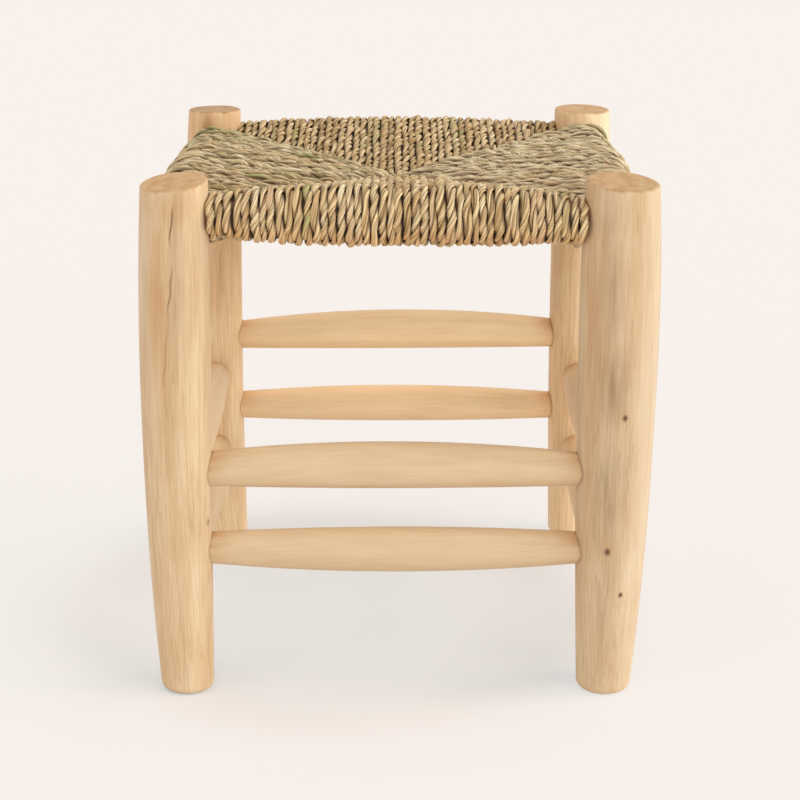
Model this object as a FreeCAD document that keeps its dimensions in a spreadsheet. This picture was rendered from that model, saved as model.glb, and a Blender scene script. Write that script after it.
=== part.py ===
import FreeCAD, Part
import math
import os

# A low stool of peeled logs: four legs, four sticks that carry the seat, eight
# stretchers, and a seat of palm-leaf cord wound over the sticks in four fields.
# The front is at -Y, the floor is Z 0, and the origin is under the middle.

os.makedirs("parts", exist_ok=True)

document = FreeCAD.newDocument("KursiStool")
sheet = document.addObject("Spreadsheet::Sheet", "Sizes")

# Driving sizes in millimetres, with the one angle of each leg in degrees.
COMMON_SIZES = {
    "frame_width": (342, "between the leg axes, left to right"),
    "frame_depth": (342, "between the leg axes, front to back"),
    "leg_height": (423, "floor to the middle of the sawn top"),
    "belly_level": (295, "height at which a leg is thickest"),
    "leg_top_chamfer": (1.6, "eased edge of the sawn top"),
    "leg_foot_chamfer": (5.0, "eased edge of the foot"),
    "tenon_clearance": (0.25, "play round a tenon in its mortise"),
    "tenon_end_room": (1.0, "room between a tenon's end and its mortise"),
    "mortise_wall": (3.0, "wood between one tenon's end and the crossing tenon"),
    "mortise_overrun": (2.5, "how far a mortise cut starts outside the leg"),
    "stretcher_tenon_tip": (17.5, "diameter of a stretcher's whittled end"),
    "rail_tenon_tip": (16.5, "diameter of a seat rail's whittled end"),
    "cord_diameter": (6.4, "two-ply palm cord of the seat"),
    "cord_valley": (1.7, "depth of the groove between two cords"),
    "winding_clearance": (0.3, "play between a rail and the cord on it"),
    "field_end_clearance": (0.6, "play between the last cord and the leg"),
    "field_seam_clearance": (0.3, "half of the play between two fields"),
    "seat_middle_drop": (26.5, "from the legs' tops down to the middle of the seat"),
    "seat_corner_drop": (16.5, "from the legs' tops down to a seam beside a leg"),
    "underside_middle_drop": (50, "from the legs' tops down to the underside's middle"),
    "underside_corner_drop": (55, "from the legs' tops down to a lower seam beside a leg"),
}

# Foot, belly and top diameter, spread of the foot, bow of the axis, saw tilt.
LEG_SIZES = {
    "front_left": (43.2, 56.4, 53.3, 3.4, 3.4, 5.0),
    "front_right": (44.2, 61.3, 55.4, -2.2, 1.9, 5.5),
    "rear_left": (42.0, 52.6, 48.6, 1.8, 5.0, -1.0),
    "rear_right": (43.0, 54.4, 51.0, -0.8, 1.2, 1.5),
}
LEG_SIZE_NAMES = ("foot_diameter", "belly_diameter", "top_diameter", "foot_spread", "bow", "saw_tilt")

# Level at the first leg, level at the last leg, end and middle diameter, bow.
STRETCHER_SIZES = {
    "front_upper_stretcher": (190.6, 190.5, 27.6, 37.6, 3.3),
    "front_lower_stretcher": (123.2, 122.6, 25.2, 35.4, -1.2),
    "right_upper_stretcher": (173.0, 170.5, 27.2, 35.6, 1.5),
    "right_lower_stretcher": (98.5, 97.0, 25.4, 33.6, 0.8),
    "rear_upper_stretcher": (206.4, 204.8, 27.0, 36.8, 4.4),
    "rear_lower_stretcher": (133.5, 133.7, 25.0, 34.0, 1.5),
    "left_upper_stretcher": (171.0, 173.5, 27.4, 35.2, 1.2),
    "left_lower_stretcher": (97.5, 99.0, 25.2, 33.8, -0.8),
}
STRETCHER_SIZE_NAMES = ("first_level", "last_level", "end_diameter", "middle_diameter", "bow")

# Drop of the rail's axis below the leg's top, end and middle diameter.
RAIL_SIZES = {
    "front_seat_rail": (25.5, 25.8, 34.6),
    "right_seat_rail": (37.5, 25.4, 34.2),
    "rear_seat_rail": (32.0, 25.0, 35.0),
    "left_seat_rail": (37.0, 25.6, 34.4),
}
RAIL_SIZE_NAMES = ("drop", "end_diameter", "middle_diameter")

# Side of the stool: first leg, last leg, turn about Z from the front, in degrees.
SIDES = {
    "front": ("front_left", "front_right", 0),
    "right": ("front_right", "rear_right", 90),
    "rear": ("rear_right", "rear_left", 180),
    "left": ("rear_left", "front_left", 270),
}

# Places of the sections along a leg, a stretcher and a seat rail.
LEG_LEVEL_SHARES = (0, 0.15, 0.3, 0.45, 0.6, 0.75, 0.88, 1)
STRETCHER_SHARES = (0, 0.12, 0.3, 0.5, 0.7, 0.88, 1)
RAIL_SHARES = (0, 0.25, 0.5, 0.75, 1)
PARABOLA_SHARE = 4
TWIST_SHARE = 1e-9

# Flats shaved round a log and round a stick, and the corners of a cord's turn.
LOG_FLAT_COUNT = 24
STICK_FLAT_COUNT = 18
WRAP_DEGREES = (90, 45, 0, -45, -90)

ORIGIN = FreeCAD.Vector(0, 0, 0)
X_AXIS = FreeCAD.Vector(1, 0, 0)
Y_AXIS = FreeCAD.Vector(0, 1, 0)
Z_AXIS = FreeCAD.Vector(0, 0, 1)
ALONG_X = FreeCAD.Rotation(Z_AXIS, X_AXIS)
ALONG_Y = FreeCAD.Rotation(Z_AXIS, Y_AXIS)


def fill_sheet():
    """Write every driving size as plain text with an alias."""
    rows = [(name, value, note) for name, (value, note) in COMMON_SIZES.items()]
    for table, names, ending in (
        (LEG_SIZES, LEG_SIZE_NAMES, "_leg"),
        (STRETCHER_SIZES, STRETCHER_SIZE_NAMES, ""),
        (RAIL_SIZES, RAIL_SIZE_NAMES, ""),
    ):
        for piece, values in table.items():
            for name, value in zip(names, values):
                note = f"{name} of the {piece}{ending}".replace("_", " ")
                rows.append((f"{piece}{ending}_{name}", value, note))
    for row, (name, value, note) in enumerate(rows, start=1):
        sheet.set(f"A{row}", name)
        sheet.set(f"B{row}", str(value))
        sheet.set(f"C{row}", note)
        sheet.setAlias(f"B{row}", name)
    document.recompute()


def size(name):
    """Formula that reads one driving size."""
    return f"Sizes.{name}"


def value(formula):
    """Number that a formula gives now."""
    return float(sheet.evalExpression(formula))


# Formulas of a leg, each for a level above the floor.

def leg_radius(leg, level):
    """Half of a leg's diameter: it swells to the belly and thins above it."""
    foot = size(f"{leg}_leg_foot_diameter")
    belly = size(f"{leg}_leg_belly_diameter")
    top = size(f"{leg}_leg_top_diameter")
    belly_level = size("belly_level")
    rise = f"({level} - {belly_level})"
    below = f"({belly} - ({belly} - {foot}) * ({rise} / {belly_level}) ^ 2)"
    above = f"({belly} - ({belly} - {top}) * ({rise} / ({size('leg_height')} - {belly_level})) ^ 2)"
    return f"(({level} < {belly_level} ? {below} : {above}) / 2)"


def leg_outward(leg, level):
    """How far a leg's axis stands outside the frame's width at a level."""
    spread = size(f"{leg}_leg_foot_spread")
    bow = size(f"{leg}_leg_bow")
    up = f"({level} / {size('leg_height')})"
    down = f"(1 - {up})"
    return f"({spread} * {down} + {PARABOLA_SHARE} * {bow} * {up} * {down})"


def leg_signs(leg):
    """Direction of a leg from the middle along X and Y."""
    across = -1 if leg.endswith("left") else 1
    deep = -1 if leg.startswith("front") else 1
    return across, deep


def belly_reach(leg):
    """How far a leg's belly stands outside the frame's width."""
    belly_level = size("belly_level")
    return f"({leg_outward(leg, belly_level)} + {leg_radius(leg, belly_level)})"


def larger(first, second):
    return f"max({first}; {second})"


# The frame is shifted so that the origin is under the middle of its outline.
left_reach = larger(belly_reach("front_left"), belly_reach("rear_left"))
right_reach = larger(belly_reach("front_right"), belly_reach("rear_right"))
front_reach = larger(size("front_left_leg_belly_diameter"), size("front_right_leg_belly_diameter"))
rear_reach = larger(size("rear_left_leg_belly_diameter"), size("rear_right_leg_belly_diameter"))
MIDDLE_X = f"(({left_reach} - {right_reach}) / 2)"
MIDDLE_Y = f"(({front_reach} - {rear_reach}) / 4)"


# Formulas of a stick, in the frame of its side: X runs from the first leg to
# the last, and the side lies at -Y.

def stick_level(stick, end):
    """Level of a stick's axis where it enters its first or last leg."""
    if stick in RAIL_SIZES:
        return f"({size('leg_height')} - {size(stick + '_drop')})"
    return size(f"{stick}_{end}_level")


def stick_side(stick):
    return stick.split("_")[0]


def stick_tip_radius(stick):
    name = "rail_tenon_tip" if stick in RAIL_SIZES else "stretcher_tenon_tip"
    return f"({size(name)} / 2)"


def stick_end_radius(stick):
    return f"({size(stick + '_end_diameter')} / 2)"


def tenon_tip_distance(stick):
    """From a leg's axis to the end of a tenon, clear of the crossing tenon."""
    return f"({stick_tip_radius(stick)} + {size('mortise_wall')})"


def stick_ends(stick):
    """Formulas for both ends: leg axis along X, offset along Y, level, leg radius."""
    first, last, _turn = SIDES[stick_side(stick)]
    ends = []
    for leg, end, sign in ((first, "first", "-"), (last, "last", "")):
        level = stick_level(stick, end)
        if stick_side(stick) in ("front", "rear"):
            along = f"({size('frame_width')} / 2 + {leg_outward(leg, level)})"
            offset = f"(0 - {size('frame_depth')} / 2)"
        else:
            along = f"({size('frame_depth')} / 2)"
            offset = f"(0 - {size('frame_width')} / 2 - {leg_outward(leg, level)})"
        ends.append((f"({sign}{along})", offset, level, leg_radius(leg, level)))
    return ends


def between(first, last, share):
    return f"({first} + ({last} - {first}) * {share})"


def parabola(share):
    """1 in the middle of a run and 0 at both ends."""
    return PARABOLA_SHARE * share * (1 - share)


# Helpers that add one object and tie it to the sheet.

def add_ring(name, flats, radius, offsets, rotation):
    """A polygon section, with its size and place given as formulas."""
    ring = document.addObject("Part::RegularPolygon", name)
    ring.Polygon = flats
    ring.Placement = FreeCAD.Placement(ORIGIN, rotation)
    ring.setExpression("Circumradius", radius)
    for axis, formula in zip("xyz", offsets):
        ring.setExpression(f"Placement.Base.{axis}", formula)
    return ring


def add_loft(name, rings):
    """A closed solid with flat faces through a row of sections."""
    loft = document.addObject("Part::Loft", name)
    loft.Sections = rings
    loft.Solid = True
    loft.Ruled = True
    return loft


def closed_wire(corners):
    return Part.makePolygon(corners + corners[:1])


def closed_solid(faces):
    shell = Part.makeShell(faces)
    shell.sewShape()
    return Part.makeSolid(shell)


def is_twisted(corners):
    """Whether a four-cornered face has a corner off the plane of the others."""
    first, second, third, fourth = corners
    normal = (second - first).cross(third - first)
    return abs(normal.normalize().dot(fourth - first)) > (fourth - first).Length * TWIST_SHARE


def add_flat_copy(name, loft):
    """A lofted solid rebuilt from flat faces, with two triangles for a twisted one."""
    faces = []
    for face in loft.Shape.Faces:
        corners = [vertex.Point for vertex in face.OuterWire.OrderedVertexes]
        if len(corners) == 4 and is_twisted(corners):
            first, second, third, fourth = corners
            faces.append(Part.Face(closed_wire([first, second, third])))
            faces.append(Part.Face(closed_wire([first, third, fourth])))
        else:
            faces.append(Part.Face(closed_wire(corners)))
    copy = document.addObject("Part::Feature", name)
    copy.Shape = closed_solid(faces)
    return copy


# Legs, in a frame with its origin at the foot of the leg's place in the plan.

def mortise_tool(leg, stick, end):
    """Tapered mortise of one stick in a leg, from its blind end to the outside."""
    across, deep = leg_signs(leg)
    level = stick_level(stick, end)
    radius = leg_radius(leg, level)
    tip = tenon_tip_distance(stick)
    slope = f"(({stick_end_radius(stick)} - {stick_tip_radius(stick)}) / ({radius} - {tip}))"
    play = size("tenon_clearance")
    end_room = size("tenon_end_room")
    overrun = size("mortise_overrun")
    axis_x = f"({across} * {leg_outward(leg, level)})"
    stops = (
        ("end", f"({tip} - {end_room})", f"{stick_tip_radius(stick)} + {play} - {slope} * {end_room}"),
        ("mouth", f"({radius} + {overrun})", f"{stick_end_radius(stick)} + {play} + {slope} * {overrun}"),
    )
    rings = []
    for place, distance, ring_radius in stops:
        if stick_side(stick) in ("front", "rear"):
            offsets = (f"{axis_x} - {across} * {distance}", "0", level)
            rotation = ALONG_X
        else:
            offsets = (axis_x, f"0 - {deep} * {distance}", level)
            rotation = ALONG_Y
        name = f"{leg}_{stick}_mortise_{place}"
        rings.append(add_ring(name, STICK_FLAT_COUNT, ring_radius, offsets, rotation))
    return add_loft(f"{leg}_{stick}_mortise", rings)


def make_leg(leg):
    """A log shaved along its bowed axis, eased at both ends, with its mortises."""
    name = f"{leg}_leg"
    across, deep = leg_signs(leg)
    tilt = size(f"{name}_saw_tilt")
    sawn = FreeCAD.Rotation(X_AXIS, value(tilt))
    upright = FreeCAD.Rotation()
    foot_edge = size("leg_foot_chamfer")
    top_edge = size("leg_top_chamfer")
    sawn_level = f"({size('leg_height')} - {top_edge})"

    def section(ending, level, radius, rotation, shift="0"):
        offsets = (f"{across} * {leg_outward(leg, level)}", shift, level)
        return add_ring(f"{name}_{ending}", LOG_FLAT_COUNT, radius, offsets, rotation)

    floor_radius = f"{leg_radius(leg, foot_edge)} - {foot_edge}"
    rings = [section("floor", "0", floor_radius, upright)]
    for number, share in enumerate(LEG_LEVEL_SHARES):
        level = between(foot_edge, sawn_level, share)
        rotation = sawn if share == LEG_LEVEL_SHARES[-1] else upright
        rings.append(section(f"section_{number}", f"({level})", leg_radius(leg, f"({level})"), rotation))
    face_level = f"({sawn_level} + {top_edge} * cos({tilt} * 1 deg))"
    face_shift = f"0 - {top_edge} * sin({tilt} * 1 deg)"
    face_radius = f"{leg_radius(leg, sawn_level)} - {top_edge}"
    rings.append(section("sawn_face", face_level, face_radius, sawn, face_shift))
    log = add_loft(f"{name}_log_loft", rings)
    mortises = []
    for stick in STICKS:
        first, last, _turn = SIDES[stick_side(stick)]
        if leg == first:
            mortises.append(mortise_tool(leg, stick, "first"))
        if leg == last:
            mortises.append(mortise_tool(leg, stick, "last"))
    document.recompute()
    tools = document.addObject("Part::Compound", f"{name}_mortises")
    tools.Links = [add_flat_copy(f"{mortise.Name}_flat", mortise) for mortise in mortises]
    cut = document.addObject("Part::Cut", name)
    cut.Base = add_flat_copy(f"{name}_log", log)
    cut.Tool = tools
    cut.Label = name
    cut.setExpression("Placement.Base.x", f"{across} * {size('frame_width')} / 2 + {MIDDLE_X}")
    cut.setExpression("Placement.Base.y", f"{deep} * {size('frame_depth')} / 2 + {MIDDLE_Y}")
    return cut


# Stretchers and seat rails

def make_stick(stick):
    """A spindle between two legs, with a whittled tenon at each end."""
    is_rail = stick in RAIL_SIZES
    shares = RAIL_SHARES if is_rail else STRETCHER_SHARES
    bow = "0" if is_rail else size(f"{stick}_bow")
    middle_radius = f"({size(stick + '_middle_diameter')} / 2)"
    end_radius = stick_end_radius(stick)
    tip_radius = stick_tip_radius(stick)
    tip = tenon_tip_distance(stick)
    first, last = stick_ends(stick)
    first_mouth = f"({first[0]} + {first[3]})"
    last_mouth = f"({last[0]} - {last[3]})"
    tip_offsets = (f"{first[0]} + {tip}", first[1], first[2])
    rings = [add_ring(f"{stick}_first_tip", STICK_FLAT_COUNT, tip_radius, tip_offsets, ALONG_X)]
    for number, share in enumerate(shares):
        swell = parabola(share)
        offsets = (
            between(first_mouth, last_mouth, share),
            between(first[1], last[1], share),
            f"{between(first[2], last[2], share)} + {bow} * {swell}",
        )
        radius = f"{end_radius} + ({middle_radius} - {end_radius}) * {swell}"
        rings.append(add_ring(f"{stick}_section_{number}", STICK_FLAT_COUNT, radius, offsets, ALONG_X))
    tip_offsets = (f"{last[0]} - {tip}", last[1], last[2])
    rings.append(add_ring(f"{stick}_last_tip", STICK_FLAT_COUNT, tip_radius, tip_offsets, ALONG_X))
    loft = add_loft(f"{stick}_loft", rings)
    document.recompute()
    spindle = add_flat_copy(stick, loft)
    spindle.Label = stick
    place_on_side(spindle, stick_side(stick))
    return spindle


def place_on_side(piece, side):
    """Turn a piece from the front to its side and shift it with the frame."""
    turn = SIDES[side][2]
    piece.Placement = FreeCAD.Placement(ORIGIN, FreeCAD.Rotation(Z_AXIS, turn))
    piece.setExpression("Placement.Base.x", MIDDLE_X)
    piece.setExpression("Placement.Base.y", MIDDLE_Y)


# Woven seat: one field per side, a hairpin of cord over each length of rail.

def ramp(first, last, share):
    return first + (last - first) * share


def skin(outlines):
    """Three-cornered faces between each two neighbours in a row of outlines."""
    faces = []
    for near, far in zip(outlines, outlines[1:]):
        near_sides = zip(near, near[1:] + near[:1])
        far_sides = zip(far, far[1:] + far[:1])
        for (near_start, near_end), (far_start, far_end) in zip(near_sides, far_sides):
            faces.append(Part.Face(closed_wire([near_start, near_end, far_start])))
            faces.append(Part.Face(closed_wire([near_end, far_end, far_start])))
    return faces


def make_weave(side):
    """One field: side by side cords, each round the rail and back to the seam."""
    rail = f"{side}_seat_rail"
    first_leg, last_leg, _turn = SIDES[side]
    first, last = [[value(formula) for formula in end] for end in stick_ends(rail)]
    cord = value(size("cord_diameter"))
    valley = value(size("cord_valley"))
    play = value(size("winding_clearance"))
    seam_play = value(size("field_seam_clearance"))
    end_play = value(size("field_end_clearance"))
    end_radius = value(stick_end_radius(rail))
    middle_radius = value(size(f"{rail}_middle_diameter")) / 2
    leg_top = value(size("leg_height"))
    middle_level = leg_top - value(size("seat_middle_drop"))
    corner_level = leg_top - value(size("seat_corner_drop"))
    middle_underside = leg_top - value(size("underside_middle_drop"))
    corner_underside = leg_top - value(size("underside_corner_drop"))
    half_length = value(size("frame_width")) / 2
    half_offset = value(size("frame_depth")) / 2
    if side in ("left", "right"):
        half_length, half_offset = half_offset, half_length
    half_frame = min(half_length, half_offset)
    wrap_bottom = f"({stick_level(rail, 'first')} - {stick_end_radius(rail)} - {size('cord_diameter')})"
    start = first[0] + value(leg_radius(first_leg, wrap_bottom)) + end_play
    finish = last[0] - value(leg_radius(last_leg, wrap_bottom)) - end_play
    rail_start = first[0] + first[3]
    rail_finish = last[0] - last[3]
    level = first[2]

    def rail_share(along):
        return (along - rail_start) / (rail_finish - rail_start)

    def rail_radius(along):
        return ramp(end_radius, middle_radius, parabola(rail_share(along)))

    def round_rail(along, degrees, radius):
        """Point beside the rail's axis, at an angle up from straight outwards."""
        angle = math.radians(degrees)
        offset = ramp(first[1], last[1], rail_share(along))
        return FreeCAD.Vector(along, offset - radius * math.cos(angle), level + radius * math.sin(angle))

    def hairpin(along, sink):
        """Closed outline of one cord's path, back to the seam that runs in from the corner."""
        from_corner = half_length - abs(along)
        seam = max(half_offset - from_corner, 0) + seam_play
        corner_share = (max(half_frame - from_corner, 0) + seam_play) / half_frame
        top = ramp(middle_level, corner_level, corner_share) - sink
        under = ramp(middle_underside, corner_underside, corner_share) + sink
        wrap = rail_radius(along) + play + cord - sink
        turn = [round_rail(along, degrees, wrap) for degrees in WRAP_DEGREES]
        return [FreeCAD.Vector(along, -seam, top)] + turn + [FreeCAD.Vector(along, -seam, under)]

    def bore(along):
        """Outline of the hole for the rail at a place along it."""
        step = 360 / STICK_FLAT_COUNT
        return [round_rail(along, flat * step, rail_radius(along) + play) for flat in range(STICK_FLAT_COUNT)]

    cords = round((finish - start) / cord)
    pitch = (finish - start) / cords
    outlines = []
    for half_cord in range(2 * cords + 1):
        sink = valley if half_cord % 2 == 0 else 0
        outlines.append(hairpin(start + pitch * half_cord / 2, sink))
    stops = [ramp(rail_start, rail_finish, share) for share in RAIL_SHARES[1:-1]]
    bores = [bore(along) for along in [start] + stops + [finish]]
    ends = [Part.Face([closed_wire(outlines[end]), closed_wire(bores[end])]) for end in (0, -1)]
    weave = document.addObject("Part::Feature", f"{side}_seat_weave")
    weave.Label = f"{side}_seat_weave"
    weave.Shape = closed_solid(skin(outlines) + skin(bores) + ends)
    place_on_side(weave, side)
    return weave


fill_sheet()
STICKS = list(STRETCHER_SIZES) + list(RAIL_SIZES)
sub_parts = [make_leg(leg) for leg in LEG_SIZES]
sub_parts += [make_stick(stick) for stick in STICKS]
sub_parts += [make_weave(side) for side in SIDES]
document.recompute()

for item in document.Objects:
    if "Invalid" in item.State or "Error" in item.State:
        raise RuntimeError(f"{item.Label} did not build: {item.State}")
for piece in sub_parts:
    if piece.Shape.isNull() or not piece.Shape.isValid():
        raise RuntimeError(f"{piece.Label} has no valid shape")
for piece in sub_parts:
    piece.Shape.exportStep(f"parts/{piece.Label}.step")
    print(piece.Label, len(piece.Shape.Solids), round(piece.Shape.Volume))
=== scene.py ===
import math
import random

import bpy
import numpy as np
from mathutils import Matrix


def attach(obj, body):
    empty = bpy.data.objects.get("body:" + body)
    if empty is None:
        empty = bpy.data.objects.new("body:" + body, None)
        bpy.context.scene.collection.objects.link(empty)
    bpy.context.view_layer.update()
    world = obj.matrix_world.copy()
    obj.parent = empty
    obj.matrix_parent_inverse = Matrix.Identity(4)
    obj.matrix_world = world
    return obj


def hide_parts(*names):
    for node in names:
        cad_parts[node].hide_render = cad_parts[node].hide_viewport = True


# The looks of a low stool of peeled logs with a seat of two-ply palm-leaf cord.
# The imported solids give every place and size. Lengths in this file are in
# millimetres until a mesh is written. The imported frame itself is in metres.

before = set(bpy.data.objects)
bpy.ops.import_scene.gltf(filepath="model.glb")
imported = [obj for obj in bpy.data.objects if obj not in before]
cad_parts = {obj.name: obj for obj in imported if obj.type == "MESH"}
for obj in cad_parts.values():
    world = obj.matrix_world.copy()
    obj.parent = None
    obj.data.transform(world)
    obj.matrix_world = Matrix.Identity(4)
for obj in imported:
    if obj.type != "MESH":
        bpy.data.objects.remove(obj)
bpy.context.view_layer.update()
MM = 0.001

# Sides of the stool: the direction along the rail and the direction outwards.
SIDES = {
    "front": ((1, 0, 0), (0, -1, 0)),
    "right": ((0, 1, 0), (1, 0, 0)),
    "rear": ((-1, 0, 0), (0, 1, 0)),
    "left": ((0, -1, 0), (-1, 0, 0)),
}
LEGS = ("front_left_leg", "front_right_leg", "rear_left_leg", "rear_right_leg")
UP = np.array([0, 0, 1.0])

# A section of a packed log or stick: its fewest corners, and the least gap to the next section.
RING_CORNERS = 16
RING_GAP = 0.02

# Shares of its plain count and size between which a wave falls.
WAVE_COUNT_SHARES = (0.8, 1.25)
WAVE_SIZE_SHARES = (0.7, 1.2)


def srgb(red, green, blue):
    """Linear colour of a colour that is written as it looks, 0 to 255."""
    parts = [part / 255 for part in (red, green, blue)]
    linear = [part / 12.92 if part <= 0.04045 else ((part + 0.055) / 1.055) ** 2.4 for part in parts]
    return (*linear, 1.0)


def waves(seed, rows):
    """A smooth repeatable wobble: sines of given counts per unit and sizes, with random phases."""
    dice = random.Random(seed)
    terms = [(count * dice.uniform(*WAVE_COUNT_SHARES), size * dice.uniform(*WAVE_SIZE_SHARES),
              dice.uniform(0, math.tau)) for count, size in rows]

    def wobble(place):
        return sum(size * np.sin(math.tau * count * place + phase) for count, size, phase in terms)
    return wobble


def for_sides(*values):
    """A table with one value for each side: front, right, rear and left."""
    return dict(zip(SIDES, values))


def fade(distance, reach):
    """1 at no distance, falling softly to nothing beyond the reach."""
    return np.exp(-(distance / reach) ** 2)


def unit(vectors):
    """The same vectors with a length of 1."""
    return vectors / np.linalg.norm(vectors, axis=1)[:, None]


def circle_of_angles(count):
    """Angles of a ring's corners, as one row."""
    return np.arange(count)[None, :] * math.tau / count


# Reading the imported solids

def corners_of(node):
    """Corner points of a CAD node in millimetres."""
    points = np.array([vertex.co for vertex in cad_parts[node].data.vertices], float)
    return np.unique(np.round(points / MM, 3), axis=0)


def rings_of(node, axis):
    """Sections of a CAD log or stick along an axis: place, centre and radius of each ring."""
    points = corners_of(node)
    points = points[np.argsort(points[:, axis])]
    breaks = np.nonzero(np.diff(points[:, axis]) > RING_GAP)[0] + 1
    rings = []
    for ring in np.split(points, breaks):
        if len(ring) >= RING_CORNERS:
            rings.append((ring[:, axis].mean(), *circle_through(ring, axis)))
    return rings


def circle_through(ring, axis):
    """Centre and radius of the circle through a ring of points that lie across an axis."""
    flat = np.delete(ring, axis, axis=1)
    answer = np.linalg.lstsq(np.c_[2 * flat, np.ones(len(flat))], (flat ** 2).sum(axis=1), rcond=None)[0]
    radius = math.sqrt(answer[2] + answer[0] ** 2 + answer[1] ** 2)
    return np.insert(answer[:2], axis, ring[:, axis].mean()), radius


def columns_of(rings):
    """Places, centres and radii of rings, each as one array."""
    return (np.array(column) for column in zip(*rings))


def curve_through(places, values, degree):
    return np.poly1d(np.polyfit(places, values, degree))


def axis_of(side):
    """Axis along which a side's rail and stretchers run: 0 for x, 1 for y."""
    return 0 if side in ("front", "rear") else 1


def rail_rings(side):
    return rings_of(f"{side}_seat_rail", axis_of(side))


def rail_middle(side):
    """Middle of a rail's axis."""
    _places, centres, _radii = columns_of(rail_rings(side))
    return centres.mean(axis=0)


# Meshes

def add_object(name, data):
    made = bpy.data.objects.new(name, data)
    bpy.context.scene.collection.objects.link(made)
    return made


class Piece:
    """Points, faces, bake map and point values gathered for one mesh."""

    def __init__(self, name):
        self.name = name
        self.points = []
        self.faces = []
        self.corner_places = []
        self.vectors = []
        self.floats = {}
        self.count = 0

    def add_tube(self, rings, box, vectors, floats):
        """A closed tube through rings of points. box is its place on the bake map."""
        rows, sides, _ = rings.shape
        row = np.arange(rows - 1)[:, None]
        side = np.arange(sides)[None, :]
        following = (side + 1) % sides
        faces = np.stack([row * sides + side, row * sides + following,
                          (row + 1) * sides + following, (row + 1) * sides + side], axis=-1)
        x0, y0, x1, y1 = box
        left, right = (x0 + (x1 - x0) * (row + step) / (rows - 1) + 0 * side for step in (0, 1))
        low, high = (y0 + (y1 - y0) * (side + step) / sides + 0 * row for step in (0, 1))
        corners = ((left, low), (left, high), (right, high), (right, low))
        corner_places = np.stack([np.stack(corner, -1) for corner in corners], axis=2)
        first, last = self.count, self.count + (rows - 1) * sides
        self.points.append(rings.reshape(-1, 3))
        self.faces += (faces.reshape(-1, 4) + first).tolist()
        self.corner_places.append(corner_places.reshape(-1, 2))
        self.vectors.append(vectors.reshape(-1, 3))
        for name, values in floats.items():
            self.floats.setdefault(name, []).append(np.broadcast_to(np.ravel(values), rows * sides))
        for corner, order in ((first, range(sides - 1, -1, -1)), (last, range(sides))):
            self.faces.append([corner + step for step in order])
            self.corner_places.append(np.full((sides, 2), (x0, y0)))
        self.count += rows * sides

    def build(self, material, node):
        mesh = bpy.data.meshes.new(self.name)
        mesh.from_pydata((np.concatenate(self.points) * MM).tolist(), [], self.faces)
        places = mesh.attributes.new("place", "FLOAT_VECTOR", "POINT")
        places.data.foreach_set("vector", np.concatenate(self.vectors).astype(np.float32).ravel())
        for name, values in self.floats.items():
            attribute = mesh.attributes.new(name, "FLOAT", "POINT")
            attribute.data.foreach_set("value", np.concatenate(values).astype(np.float32))
        bake_map = mesh.uv_layers.new(name="OFBake")
        bake_map.data.foreach_set("uv", np.concatenate(self.corner_places).astype(np.float32).ravel())
        mesh.materials.append(material)
        mesh.shade_smooth()
        made = add_object(self.name, mesh)
        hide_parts(node)
        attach(made, "root")
        return made


# Materials

# A piece's own number, 0 to 1, reaches so far into the noises.
SEED_REACH = 100.0

# Year rings: turn of their sine per millimetre from the middle, and how far the noise shifts it.
YEAR_RING_TURN = 1.9
YEAR_RING_WOBBLE = 9.0


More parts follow.
